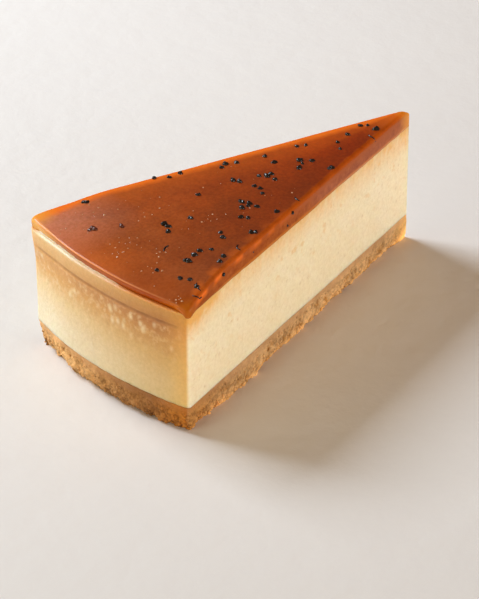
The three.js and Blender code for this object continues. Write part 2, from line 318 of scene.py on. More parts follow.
def ring_faces(rows, columns):
    """Faces over a grid of rings, lowest first, each counter-clockwise: quads between the rings, a fan from the
    first ring to the point that follows the rings, and a fan from the last ring to the point after it."""
    column = np.arange(columns)
    following = (column + 1) % columns
    row = np.arange(rows - 1)[:, None] * columns
    above = row + columns
    quads = np.stack([row + column, row + following, above + following, above + column], axis=-1)
    below = np.full(columns, rows * columns)
    last_row = (rows - 1) * columns
    first = np.stack([below, following, column], axis=-1)
    last = np.stack([below + 1, last_row + column, last_row + following], axis=-1)
    return [quads.reshape(-1, 4), first, last]


def closed_skin(name, x, y, z, bottom, top, attributes):
    """A closed mesh from a grid of rings, with a point at height bottom under the first ring and one at height
    top over the last. An attribute has one number for each point, or for each point of a ring."""
    rows, columns = x.shape
    centre = [[-CENTRE_FROM_TIP, 0, bottom], [-CENTRE_FROM_TIP, 0, top]]
    points = np.concatenate([np.stack(np.broadcast_arrays(x, y, z), axis=-1).reshape(-1, 3), centre])
    values = {}
    for key, value in attributes.items():
        flat = np.broadcast_to(value, x.shape).reshape(-1)
        values[key] = np.concatenate([flat, [flat[:columns].mean(), flat[-columns:].mean()]])
    return mesh_piece(name, points, ring_faces(rows, columns), values)


def mesh_piece(name, points, face_groups, attributes):
    """An object whose mesh has these points, in millimetres of the slice's frame, and these faces. Each
    attribute is one number for each point."""
    mesh = bpy.data.meshes.new(name)
    corners = np.concatenate([faces.reshape(-1) for faces in face_groups])
    sides = np.concatenate([np.full(len(faces), faces.shape[1]) for faces in face_groups])
    starts = np.concatenate([[0], np.cumsum(sides)[:-1]])
    mesh.vertices.add(len(points))
    mesh.vertices.foreach_set("co", ((points + TIP) * MM).astype(np.float32).reshape(-1))
    mesh.loops.add(len(corners))
    mesh.loops.foreach_set("vertex_index", corners.astype(np.int32))
    mesh.polygons.add(len(sides))
    mesh.polygons.foreach_set("loop_start", starts.astype(np.int32))
    mesh.polygons.foreach_set("use_smooth", np.full(len(sides), True))
    for key, value in attributes.items():
        layer = mesh.attributes.new(key, "FLOAT", "POINT")
        layer.data.foreach_set("value", np.asarray(value, dtype=np.float32).reshape(-1))
    mesh.update(calc_edges=True)
    if mesh.validate():
        raise RuntimeError(f"{name} had broken faces")
    piece = bpy.data.objects.new(name, mesh)
    bpy.context.collection.objects.link(piece)
    return piece


def lumps(name, centres, radii, unevenness, around, up, own):
    """Many small closed lumps as one mesh: a ball of up bands and around columns for each centre, with its
    radius scaled point by point by 1 plus unevenness times smooth noise, then turned about its upright axis.
    own has the attributes, one number for each lump."""
    turn = 2 * np.pi * np.arange(around) / around
    rise = np.pi * np.arange(1, up)[:, None] / up
    rings = np.broadcast_arrays(np.sin(rise) * np.cos(turn), np.sin(rise) * np.sin(turn), -np.cos(rise))
    ball = np.concatenate([np.stack(rings, axis=-1).reshape(-1, 3), [[0, 0, -1], [0, 0, 1]]])
    number = np.arange(len(centres))[:, None]
    rough = lattice_noise(ball[:, 0] * 1.6 + number * 3.1, ball[:, 1] * 1.6, ball[:, 2] * 1.6 + number)
    local = ball * (radii[:, None] * (1 + unevenness * rough))[..., None]
    spin = 2 * np.pi * hash01(number, 3, 8)
    turned_x = local[..., 0] * np.cos(spin) - local[..., 1] * np.sin(spin)
    turned_y = local[..., 0] * np.sin(spin) + local[..., 1] * np.cos(spin)
    turned = np.stack([turned_x, turned_y, local[..., 2]], axis=-1)
    points = (turned + centres[:, None, :]).reshape(-1, 3)
    offset = number[..., None] * len(ball)
    groups = [(faces + offset).reshape(-1, faces.shape[1]) for faces in ring_faces(up - 1, around)]
    return mesh_piece(name, points, groups, {key: np.repeat(value, len(ball)) for key, value in own.items()})


def base_relief(outline, z):
    """How far the crumb base stands out: lumps and grains of noise, less the worn lower edge and the crumbs
    lost at the far corner, plus the crumbs spread at the near cut face, calmer at the top and the pointed end."""
    x, y = outline["x"], outline["y"]
    lump = LUMP_DEPTH * lattice_noise(x / LUMP_SIZE, y / LUMP_SIZE, z / LUMP_SIZE)
    grain = GRAIN_DEPTH * lattice_noise(x / GRAIN_SIZE, y / GRAIN_SIZE, z / GRAIN_SIZE + 9)
    up = z / BASE_TOP
    wear = LOWER_EDGE_WEAR * smoothstep(1 - z / LOWER_EDGE_WEAR_HEIGHT)
    lost = LOST_CRUMB_DEPTH * corner_share(x, y, FAR, LOST_CRUMB_REACH) * (1 - up)
    along_cut = np.abs(-x / math.cos(HALF_ANGLE) - CRUMB_SPREAD_CENTRE) / CRUMB_SPREAD_REACH
    near_side = np.where(y < 0, smoothstep(1 - along_cut) * (1 - outline["rim"]), 0)
    spread = CRUMB_SPREAD * near_side * np.sqrt(np.clip(1 - up, 0, 1))
    calm_top = 1 - 0.65 * smoothstep((z - 6) / 2)
    return ((lump + grain) * calm_top - wear - lost + spread) * (0.25 + 0.75 * past_tip(x, 9))


def filling_relief(outline, z):
    """How far the filling stands out: long waves, less the rim's line, plus the flare at the far corner."""
    x, y = outline["x"], outline["y"]
    wave = WALL_WAVE * lattice_noise(x / WALL_WAVE_SIZE, y / WALL_WAVE_SIZE, z / WALL_WAVE_SIZE + 4)
    groove = GROOVE_DEPTH * outline["rim"] * smoothstep(1 - np.abs(z - GROOVE_HEIGHT) / GROOVE_HALF_WIDTH)
    far_corner = corner_share(x, y, FAR, FLARE_REACH)
    flare = FLARE_DEPTH * far_corner * smoothstep(1 - (FILLING_TOP - z) / FLARE_HEIGHT)
    return wave * past_tip(x, 12) - groove + flare


def glaze_level(x, y):
    """The glaze's top height, less a fall towards the rim that grows with the square of the way into its width,
    smaller at the far corner and greater at the near one, and less a small fall at the pointed end."""
    rim = 1 - np.clip(from_rim(x, y) / RIM_FALL_WIDTH, 0, 1)
    less = 1 - FAR_CORNER_LIFT * corner_share(x, y, FAR, FAR_CORNER_LIFT_REACH)
    more = NEAR_CORNER_FALL * corner_share(x, y, NEAR, NEAR_CORNER_FALL_REACH)
    tip = TIP_FALL * smoothstep(1 - np.hypot(x, y) / TIP_FALL_REACH)
    return GLAZE_TOP - RIM_FALL * rim * rim * less - more - tip


def glaze_surface(x, y):
    """The glaze's level, less the drop of the quarter round along its cut edges."""
    into_round = np.clip(CUT_EDGE_ROUND - from_cut_face(x, y), 0, CUT_EDGE_ROUND)
    return glaze_level(x, y) - CUT_EDGE_ROUND + np.sqrt(CUT_EDGE_ROUND**2 - into_round**2)


def patch_places(patches):
    """Places on the glaze: each patch is filled by a spiral that turns by the golden angle. Returns x, y, the
    patch's number and the number in the patch."""
    columns = []
    for patch, (from_tip, across, count, spread) in enumerate(patches):
        number = np.arange(count)
        turn = patch * 1.7 + number * GOLDEN_ANGLE
        reach = spread * np.sqrt(number / max(1, count - 1))
        x = -from_tip + reach * np.cos(turn)
        limit = (-x * math.sin(HALF_ANGLE) - SPECK_EDGE) / math.cos(HALF_ANGLE)
        y = np.clip(across + reach * np.sin(turn), -limit, limit)
        columns.append([x, y, np.full(count, patch), number])
    return [np.concatenate(column) for column in zip(*columns)]


def speck_places():
    """Centres and radii of the specks on the glaze and of those on its near cut side."""
    x, y, patch, number = patch_places(SPECK_PATCHES)
    radius = SPECK_RADIUS * (0.75 + 0.5 * hash01(patch, number, 5))
    on_top = np.stack([x, y, glaze_surface(x, y) - SPECK_SUNK * radius], axis=-1)
    from_tip, height, side_radius = np.array(SIDE_SPECKS).T
    on_side = np.stack([-from_tip * math.cos(HALF_ANGLE), -from_tip * math.sin(HALF_ANGLE), height], axis=-1)
    return np.concatenate([on_top, on_side]), np.concatenate([radius, side_radius])


class Nodes:
    """A node tree in the making, with helpers that add one node each and give its output."""

    def __init__(self, owner):
        owner.use_nodes = True
        self.nodes = owner.node_tree.nodes
        self.links = owner.node_tree.links

    def join(self, source, socket):
        """Links an output to a socket, or sets it to a number, a vector or a colour of three numbers."""
        if isinstance(source, bpy.types.NodeSocket):
            self.links.new(source, socket)
        elif socket.type == "RGBA":
            socket.default_value = (*source, 1)
        else:
            socket.default_value = source

    def add(self, kind, inputs, output=0, **settings):
        """One node with these settings and inputs, and the output asked for."""
        node = self.nodes.new(kind)
        for key, value in settings.items():
            setattr(node, key, value)
        for key, source in inputs.items():
            self.join(source, node.inputs[key])
        return node.outputs[output]

    def span(self, value, low, high, out_low=0.0, out_high=1.0, way="LINEAR"):
        """value carried from the range low to high onto out_low to out_high, held at the ends."""
        inputs = {0: value, 1: low, 2: high, 3: out_low, 4: out_high}
        return self.add("ShaderNodeMapRange", inputs, interpolation_type=way)

    def maths(self, operation, first, second=0.5):
        """One arithmetic step on two numbers."""
        return self.add("ShaderNodeMath", {0: first, 1: second}, operation=operation)

    def times(self, *factors):
        """The product of all factors."""
        return reduce(lambda first, second: self.maths("MULTIPLY", first, second), factors)

    def highest(self, *values):
        """The greatest of all values."""
        return reduce(lambda first, second: self.maths("MAXIMUM", first, second), values)

    def mix(self, share, first, second, blend="MIX"):
        """first where share is 0 and second, or its blend with first, where share is 1."""
        inputs = {0: share, 6: first, 7: second}
        return self.add("ShaderNodeMix", inputs, 2, data_type="RGBA", blend_type=blend)

    def over(self, colour, layer, *shares):
        """colour under a layer that is as strong as the product of the shares."""
        return self.mix(self.times(*shares), colour, layer)

    def dyed(self, colour, dye, *shares):
        """colour times a dye that is as strong as the product of the shares."""
        return self.mix(self.times(*shares), colour, dye, "MULTIPLY")


class Surface(Nodes):
    """A material in the making: a principled shader whose named sockets are set to constants."""

    def __init__(self, name, **sockets):
        self.material = bpy.data.materials.new(name)
        super().__init__(self.material)
        self.shader = self.nodes["Principled BSDF"]
        self.place = self.add("ShaderNodeTexCoord", {}, "Object")
        for key, value in sockets.items():
            self.join(value, self.shader.inputs[key.replace("_", " ")])

    def stretched(self, x, y, z):
        """The object's coordinates times a number for each axis."""
        return self.add("ShaderNodeMapping", {"Scale": (x, y, z), "Vector": self.place}, "Vector")

    def height_mm(self):
        """Height above the surface that the slice stands on, in millimetres."""
        return self.times(self.add("ShaderNodeSeparateXYZ", {0: self.place}, 2), 1 / MM)

    def noise(self, size_mm, detail, roughness=0.55, place=None):
        """Fractal noise from 0 to 1 whose largest features are about size_mm wide."""
        inputs = {"Scale": 1 / (size_mm * MM), "Detail": detail, "Roughness": roughness}
        return self.add("ShaderNodeTexNoise", {**inputs, "Vector": place or self.place}, "Fac")

    def clouds(self, size_mm, detail, low, high, out_low=0.0, out_high=1.0, roughness=0.55, place=None):
        """Noise carried from the range low to high onto out_low to out_high."""
        return self.span(self.noise(size_mm, detail, roughness, place), low, high, out_low, out_high)

    def attributes(self, *names):
        """Numbers stored on the piece's own points."""
        return [self.add("ShaderNodeAttribute", {}, "Fac", attribute_name=name) for name in names]

    def ramp(self, value, stops):
        """The colour at value between 0 and 1 on a run of [place, colour] stops."""
        node = self.nodes.new("ShaderNodeValToRGB")
        elements = node.color_ramp.elements
        for element, (place, colour) in zip(elements, (stops[0], stops[-1])):
            element.position = place
            element.color = (*colour, 1)
        for place, colour in stops[1:-1]:
            elements.new(place).color = (*colour, 1)
        self.join(value, node.inputs[0])
        return node.outputs[0]

    def bump(self, height, depth_mm, **below):
        """Leans the shading normal as if the surface rose by height times depth_mm, over any Normal below."""
        return self.add("ShaderNodeBump", {"Distance": depth_mm * MM, "Height": height, **below}, "Normal")

    def finish(self, piece, colour, normal, roughness=None):
        """Links colour, normal and, where it varies, roughness, and puts the material on the piece."""
        self.join(colour, self.shader.inputs["Base Color"])
        self.join(normal, self.shader.inputs["Normal"])
        if roughness is not None:
            self.join(roughness, self.shader.inputs["Roughness"])
        piece.data.materials.clear()
        piece.data.materials.append(self.material)


def scaled(colour, factor):
    """A colour made lighter or darker by a factor, held to 1."""
    return [min(1, value * factor) for value in colour]


def colour_property(name, description, red, green, blue):
    """A colour property given by its sRGB values from 0 to 255, kept as linear light."""
    linear = []
    for value in (red, green, blue):
        share = value / 255
        linear.append(share / 12.92 if share <= 0.04045 else ((share + 0.055) / 1.055) ** 2.4)
    return bpy.props.FloatVectorProperty(
        name=name, description=description, default=linear, size=3, min=0, max=1, subtype="COLOR"
    )


def length_property(name, description, default_mm):
    """A length given in millimetres and kept in metres."""
    return bpy.props.FloatProperty(name=name, description=description, default=default_mm * MM, unit="LENGTH")


def count_property(name, description, default):
    """A whole number that isn't below 0."""
    return bpy.props.IntProperty(name=name, description=description, default=default, min=0)


class CheesecakeSizes(bpy.types.PropertyGroup):
    """Sizes of the fine detail that a user may change."""

    wall_step: length_property("Wall step", "Width of the filling's and glaze's faces", 0.45)
    crumb_step: length_property("Crumb step", "Width of the crumb base's faces", 0.3)
    crumb_count: count_property("Crumbs", "Loose grains pressed into the base's side", 1500)
    bubble_count: count_property("Bubbles", "Lone tiny bubbles in the glaze's skin", 45)


class CheesecakeColours(bpy.types.PropertyGroup):
    """Colours of the cake that a user may change."""

    cream: colour_property("Cream", "The baked filling on its cut faces", 250, 232, 196)
    crumb: colour_property("Crumb", "Pressed biscuit crumb", 222, 178, 126)
    soaked: colour_property("Soaked crumb", "Crumb that took up moisture under the filling", 204, 158, 112)
    caramel: colour_property("Caramel", "The glaze where it is deep", 145, 64, 16)
    amber: colour_property("Amber", "The glaze where light comes through it", 236, 112, 24)
    edge: colour_property("Edge", "The glaze's rounded cut edge", 168, 78, 12)
    speck: colour_property("Speck", "The black specks", 12, 9, 8)


def sizes():
    return bpy.context.scene.cheesecake_sizes


def colours():
    return bpy.context.scene.cheesecake_colours


def rides_for(piece, slot, *nodes):
    """The piece moves with the slice and stands for these nodes, whose imported parts are hidden. slot is not
    used.
    """
    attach(piece, "root")
    if nodes:
        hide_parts(*nodes)


class BuildCrumbBase(bpy.types.Operator):
    """The pressed crumb base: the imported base's side with finer lumps, and loose grains pressed into it."""

    bl_idname = "cheesecake.crumb_base"
    bl_label = "Crumb base"

    def execute(self, context):
        outline = slice_outline(sizes().crumb_step / MM)
        self.body(outline)
        self.grains(outline)
        return {"FINISHED"}

    def body(self, outline):
        """The side's relief with crumbs of two sizes on it, each at its own depth, with cracks between."""
        wall = np.arange(0.12, BASE_TOP - 0.1, CRUMB_RING_STEP)
        levels = np.concatenate([[0.0, 0.0], wall, [BASE_TOP, BASE_TOP]])[:, None]
        inset = np.zeros_like(levels)
        inset[[0, -1]] = 3.0
        x, y = shrink(outline, inset)
        gap, label = nearest_cell(x / COARSE_CRUMB, y / COARSE_CRUMB, levels / COARSE_CRUMB)[1:]
        fine_gap, fine_label = nearest_cell(x / FINE_CRUMB + 31, y / FINE_CRUMB, levels / FINE_CRUMB)[1:]
        calm_top = 1 - 0.75 * smoothstep((levels - 5.2) / 1.4)
        calm = calm_top * (0.3 + 0.7 * past_tip(outline["x"], 9))
        low = 0.35 + 0.65 * smoothstep((3.2 - levels) / 2.2)
        coarse = COARSE_CRACK_DEPTH * (smoothstep(gap / COARSE_CRACK_WIDTH) - 0.7)
        coarse = (coarse + COARSE_STEP_DEPTH * (label - 0.6)) * low
        fine = FINE_CRACK_DEPTH * (smoothstep(fine_gap / FINE_CRACK_WIDTH) - 0.6)
        fine = fine + FINE_STEP_DEPTH * (fine_label - 0.5)
        out = base_relief(outline, levels) + (coarse + fine) * calm
        out[[0, -1]] = 0
        x = x + outline["nx"] * out
        y = y + outline["ny"] * out
        attributes = {
            "shade": 0.5 * label + 0.3 * fine_label + 0.2 * smoothstep(gap / COARSE_CRACK_WIDTH),
            # Painted shade: how deep a place sinks between crumbs
            "hollow_shade": smoothstep(-(coarse + fine) / 0.45 + 0.1) * calm,
            **self.places(outline["x"], outline["y"]),
        }
        piece = closed_skin("crumb_base_body", x, y, levels, 0.0, BASE_TOP, attributes)
        crumb_surface(piece, "pressed_crumb")
        rides_for(piece, "crumb", "crumb_base")

    def grains(self, outline):
        """Loose grains at hashed places of the side, more of them low down, smaller at the pointed end."""
        number = np.arange(sizes().crumb_count)
        column = (hash01(number, 1, 4) * len(outline["x"])).astype(int)
        under = {key: value[column] for key, value in outline.items()}
        height = 0.45 + 6.2 * hash01(number, 5, 2) ** 1.25
        radius = 0.18 + 0.34 * hash01(number, 7, 7) ** 2
        stand = base_relief(under, height) - 0.4 * radius
        radius = np.minimum(radius * (0.45 + 0.55 * past_tip(under["x"], 9)), height * 0.7)
        x = under["x"] + under["nx"] * stand
        y = under["y"] + under["ny"] * stand
        own = {"shade": hash01(number, 2, 9), **self.places(under["x"], under["y"])}
        grains = lumps("crumb_grains", np.stack([x, y, height], axis=-1), radius, 0.35, 7, 5, own)
        crumb_surface(grains, "loose_crumb")
        rides_for(grains, "crumb")

    def places(self, x, y):
        """What the crumb's colour takes from its place on the slice."""
        return {
            "rim": rim_colour_share(x, y),
            "across": y / RIM_CORNER[1],
            "along": -x / CAKE_RADIUS,
            "near": corner_share(x, y, NEAR, TOASTED_REACH),
        }


# How the crumb's colour changes along the rim, from the near corner to the far one
# Partly painted light: past the toasted near corner, darker at the near end and lighter at the far end, where
# more light falls
RIM_CRUMB_TINTS_AND_LIGHT = [
    [0.0, (0.80, 0.44, 0.11)], [0.08, (0.70, 0.42, 0.15)], [0.2, (0.54, 0.37, 0.23)],
    [0.5, (0.78, 0.64, 0.51)], [0.8, (1.25, 1.18, 1.1)], [1.0, (1.35, 1.3, 1.3)],
]
# Painted shade in the crumb's hollows
CRUMB_HOLLOW_SHADE = (0.17, 0.08, 0.03)
CRUMB_PATCH_TINTS = ((0.93, 0.90, 0.84), (1.2, 1.2, 1.16))
# Painted light low on the crumb's cut faces
LOW_CRUMB_PAINTED_LIGHT = (1.4, 1.34, 1.14)
BURNT_CRUMB_TINT = (0.78, 0.62, 0.36)
TIP_CRUMB_TINT = (1.75, 1.66, 1.18)
TOASTED_CRUMB_TINT = (0.80, 0.62, 0.38)


def crumb_surface(piece, name):
    """Biscuit crumb: each grain its own tone of tan, with painted shade in the hollows, darker in burnt patches,
    painted light low down on the cut faces, paler at the pointed end, toasted near the rim's near corner, soaked
    near the filling, and along the rim painted light that is darker at the near end and lighter at the far one."""
    surface = Surface(name, Specular_IOR_Level=0.25)
    palette = colours()
    shade, hollow_shade, rim = surface.attributes("shade", "hollow_shade", "rim")
    across, along, near = surface.attributes("across", "along", "near")
    height = surface.height_mm()
    on_cut = surface.span(rim, 0, 1, 1, 0)
    soaked = surface.times(surface.span(height, 5.2, 6.8), surface.clouds(2.4, 4, 0.3, 0.6, 0.55, 1.0))

    colour = surface.mix(shade, scaled(palette.crumb, 0.8), scaled(palette.crumb, 1.2))
    colour = surface.over(colour, scaled(palette.crumb, 0.6), surface.clouds(0.45, 4, 0.4, 0.7, 0, 0.45))
    colour = surface.over(colour, palette.soaked, soaked)
    # Painted shade in the hollows
    colour = surface.over(colour, CRUMB_HOLLOW_SHADE, hollow_shade, 0.68)
    # Painted light along the rim: lighter towards the far corner
    colour = surface.dyed(colour, surface.ramp(surface.span(across, -1, 1), RIM_CRUMB_TINTS_AND_LIGHT), rim)
    colour = surface.dyed(colour, surface.mix(surface.clouds(8, 2, 0.38, 0.62), *CRUMB_PATCH_TINTS), 1.0)
    # Painted light: the cut faces made paler low down, near the floor
    colour = surface.dyed(colour, LOW_CRUMB_PAINTED_LIGHT, surface.span(height, 0.3, 3.6, 1, 0), on_cut)
    burnt = surface.times(
        surface.clouds(3.4, 3, 0.5, 0.64, 0, 0.85, roughness=0.6),
        surface.span(height, 4.4, 5.6, 1, 0),
        surface.span(rim, 0, 1, 1, 0.3),
    )
    colour = surface.dyed(colour, BURNT_CRUMB_TINT, burnt)
    colour = surface.dyed(colour, TIP_CRUMB_TINT, surface.span(along, 0.005, 0.07, 1, 0))
    colour = surface.dyed(colour, TOASTED_CRUMB_TINT, near, on_cut)
    normal = surface.bump(surface.noise(0.5, 5, 0.65), 0.35)
    surface.finish(piece, colour, normal, surface.span(soaked, 0, 1, 0.88, 0.6))


class BuildFilling(bpy.types.Operator):
    """The baked filling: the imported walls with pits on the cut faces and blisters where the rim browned."""

    bl_idname = "cheesecake.filling"
    bl_label = "Filling"

    def execute(self, context):
        outline = slice_outline(sizes().wall_step / MM)
        rim = outline["rim"]
        shoulder = FILLING_TOP - SHOULDER_ROUND
        wall = np.arange(BASE_TOP, shoulder, WALL_RING_STEP)
        turn = np.linspace(0, np.pi / 2, 9)
        ledge = np.linspace(LEDGE_START, LEDGE_END, 9)
        top = np.full(len(ledge) + 1, FILLING_TOP)
        levels = np.concatenate([[BASE_TOP], wall, shoulder + SHOULDER_ROUND * np.sin(turn), top])[:, None]
        rounding = np.concatenate([[0], 0 * wall, SHOULDER_ROUND * (1 - np.cos(turn)), ledge, [0]])[:, None]
        inset = rounding * rim
        inset[-1 - len(ledge) : -1] += 0.3 * ledge[:, None] * (1 - rim)
        inset[0] = 2.0
        inset[-1] = 3.0
        x, y = shrink(outline, inset)

        beads = 0.8 + 0.6 * lattice_noise(x / LEDGE_BEAD_SIZE, y / LEDGE_BEAD_SIZE, 3)
        bead = smoothstep(1 - np.abs(inset - LEDGE_BEAD_INSET) / LEDGE_BEAD_HALF_WIDTH) * rim
        bead = bead * (levels > FILLING_TOP - 0.01) * smoothstep((outline["y"] / RIM_CORNER[1] + 0.4) / 0.35)
        z = levels + LEDGE_BEAD_HEIGHT * beads * bead

        first, _, label = nearest_cell(x / BLISTER_WIDTH, y / BLISTER_WIDTH, z / BLISTER_HEIGHT)
        zone = rim * smoothstep(GROOVE_HEIGHT - 0.6 - z) * smoothstep((z - 17) / 9)
        blister = smoothstep(1 - first / (0.3 + 0.18 * label)) * zone * (label > 0.25)
        first, _, label = nearest_cell(x / PIT_SPACING + 11, y / PIT_SPACING, z / PIT_SPACING)
        pit = smoothstep(1 - first / (0.1 + 0.16 * label)) * (label > 0.45) * (1 - rim)
        skin = lattice_noise(x / SKIN_SIZE, y / SKIN_SIZE, z / SKIN_SIZE) * (SKIN_DEPTH + RIM_SKIN_DEPTH * rim)
        fine = (BLISTER_RISE * blister + skin - PIT_DEPTH * pit) * past_tip(outline["x"], 10)
        out = filling_relief(outline, z) + fine
        out[[0, -1]] = 0
        x = x + outline["nx"] * out
        y = y + outline["ny"] * out
        attributes = {
            "rim": rim_colour_share(outline["x"], outline["y"]),
            "height": z / GLAZE_TOP,
            "blister": blister,
            "pit": pit,
            "shoulder": smoothstep((z - shoulder + 0.25) / 0.6) * rim,
            "across": outline["y"] / RIM_CORNER[1],
            "groove": rim * smoothstep(1.1 - np.abs(z - GROOVE_HEIGHT + 0.1) / GROOVE_HALF_WIDTH),
            "bead": bead,
            "near": corner_share(x, y, NEAR, 9.5),
            "near_wide": corner_share(x, y, NEAR, 22),
            "along": -x / CAKE_RADIUS,
        }
        piece = closed_skin("filling_body", x, y, z, BASE_TOP, FILLING_TOP, attributes)
        filling_surface(piece)
        rides_for(piece, "filling", "filling")
        return {"FINISHED"}


# Tones of the rim by height over the glaze's top, at its near end and at its far end, and of its near corner
# Partly painted light: the browned bands are darker at the near end and lighter at the far end, where more light
# falls
NEAR_RIM_TONES_SHADED = [
    [0.18, (0.68, 0.47, 0.22)], [0.32, (0.70, 0.47, 0.22)], [0.5, (0.66, 0.38, 0.13)],
    [0.64, (0.58, 0.265, 0.07)], [0.73, (0.46, 0.165, 0.036)], [0.78, (0.51, 0.205, 0.046)],
    [0.84, (0.58, 0.26, 0.06)],
]
FAR_RIM_TONES_LIT = [
    [0.18, (0.87, 0.74, 0.54)], [0.32, (0.86, 0.71, 0.51)], [0.5, (0.83, 0.60, 0.33)],
    [0.64, (0.74, 0.385, 0.125)], [0.73, (0.71, 0.355, 0.125)], [0.78, (0.75, 0.41, 0.155)],
    [0.84, (0.80, 0.48, 0.21)],
]
NEAR_CORNER_TONES = [
    [0.2, (0.80, 0.48, 0.14)], [0.5, (0.79, 0.44, 0.118)],
    [0.7, (0.80, 0.37, 0.078)], [0.85, (0.71, 0.30, 0.036)],
]
# Tones of the ledge under the glaze along the rim, from the near corner to the far one
LEDGE_TONES = [
    [0.0, (0.74, 0.28, 0.05)], [0.3, (0.74, 0.29, 0.06)], [0.47, (0.80, 0.45, 0.22)],
    [0.62, (0.78, 0.50, 0.27)], [0.77, (0.82, 0.64, 0.43)], [0.9, (0.88, 0.66, 0.42)],
    [1.0, (0.94, 0.74, 0.52)],
]
# Other tones of the filling: first those of the cut faces, then those of the rim
CREAM_CLOUD = (0.90, 0.73, 0.44)
CREAM_SPOT = (0.84, 0.52, 0.17)
CREAM_FLECK = (0.62, 0.40, 0.17)
CARAMEL_STAIN = (0.88, 0.46, 0.12)
CORNER_STAIN = (0.76, 0.38, 0.08)
# Painted shade in the cut faces' pits
PIT_SHADE = (0.58, 0.36, 0.15)
PALE_CLOUDS = ((0.80, 0.52, 0.24), (0.92, 0.72, 0.46))
DARK_CLOUDS = ((0.42, 0.15, 0.035), (0.62, 0.30, 0.10))
BLISTER_PALE = (0.92, 0.72, 0.45)
GROOVE_BROWN = (0.30, 0.10, 0.022)
# Painted highlight on the ledge's bead
BEAD_GLINT_PALE = (1.0, 0.80, 0.58)
MOTTLE_TINTS = ((0.95, 0.94, 0.91), (1.05, 1.07, 1.11))


def filling_surface(piece):
    """Baked cream: pale on the cut faces and stained under the glaze, with painted shade in the pits; browned at
    the rim, in clouds with pale blisters, a dark line and a ledge that is paler towards the far corner with
    painted glints on its bead, and with painted light that makes the rim lighter towards its far end."""
    surface = Surface(
        "baked_cream",
        Specular_IOR_Level=0.4,
        Subsurface_Weight=0.35,
        Subsurface_Scale=0.004,
        Subsurface_Radius=(1.0, 0.6, 0.3),
    )
    height, along, across, near = surface.attributes("height", "along", "across", "near")
    near_wide, pit, blister = surface.attributes("near_wide", "pit", "blister")
    groove, bead, shoulder = surface.attributes("groove", "bead", "shoulder")

    face = surface.over(colours().cream, CREAM_CLOUD, surface.clouds(9, 3, 0.35, 0.7, 0, 0.35))
    spots = surface.clouds(3.1, 2, 0.61, 0.7, roughness=0.5)
    face = surface.over(face, CREAM_SPOT, spots, surface.span(height, 0.4, 0.75, 0.2, 1), 0.6)
    face = surface.over(face, CREAM_FLECK, surface.clouds(0.8, 3, 0.63, 0.74, 0, 0.4, roughness=0.6))
    soaked = surface.maths("POWER", surface.span(height, 0.64, 0.87), 1.5)
    streaks = surface.clouds(2.6, 3, 0.3, 0.7, 0.55, 1.15, place=surface.stretched(1, 1, 0.45))
    strength = surface.maths("ADD", near_wide, surface.span(along, 0.02, 0.16, 1.23, 0.88))
    face = surface.over(face, CARAMEL_STAIN, soaked, streaks, strength)
    face = surface.over(face, CORNER_STAIN, near, surface.span(height, 0.75, 0.87), 0.4)
    # Painted shade in the pits
    face = surface.over(face, PIT_SHADE, pit, 0.55)

    # Painted light: the rim's tones and clouds go from darker at the near end to lighter at the far end
    side = surface.span(across, -0.7, 0.7)
    rim = surface.mix(side, surface.ramp(height, NEAR_RIM_TONES_SHADED), surface.ramp(height, FAR_RIM_TONES_LIT))
    zone = surface.times(surface.span(height, 0.44, 0.62), surface.span(height, 0.735, 0.75, 1, 0))
    pale = surface.clouds(1.9, 3, 0.5, 0.66, roughness=0.6)
    rim = surface.over(rim, surface.mix(side, *PALE_CLOUDS), pale, zone, 0.4)
    dark = surface.clouds(3.4, 4, 0.5, 0.7, roughness=0.6, place=surface.stretched(1, 1, 0.8))
    rim = surface.over(rim, surface.mix(side, *DARK_CLOUDS), dark, zone, 0.45)
    rim = surface.over(rim, BLISTER_PALE, blister, 0.7)
    broken = surface.clouds(3, 2, 0.35, 0.6, 0.6, 1)
    rim = surface.over(rim, GROOVE_BROWN, groove, surface.span(across, -0.8, 0.8, 0.9, 0.45), broken)
    ledge = surface.ramp(surface.span(across, -1, 1), LEDGE_TONES)
    # Painted highlight: pale glints in patches on the ledge's bead, lifting it out of the glaze's shade
    glint = surface.clouds(1.3, 3, 0.36, 0.6, 0.3, 1.0, roughness=0.6)
    rim = surface.over(rim, surface.over(ledge, BEAD_GLINT_PALE, bead, glint), shoulder, 0.9)
    rim = surface.over(rim, surface.ramp(height, NEAR_CORNER_TONES), near, 0.85)

    colour = surface.mix(*surface.attributes("rim"), face, rim)
    mottle = surface.mix(surface.clouds(1.1, 4, 0.35, 0.65, roughness=0.7), *MOTTLE_TINTS)
    colour = surface.dyed(colour, mottle, 1.0)
    fine = surface.bump(surface.noise(0.8, 4, 0.65), 0.13)
    normal = surface.bump(surface.noise(3.5, 2), 0.14, Normal=fine)
    surface.finish(piece, colour, normal, surface.span(shoulder, 0, 1, 0.45, 0.3))


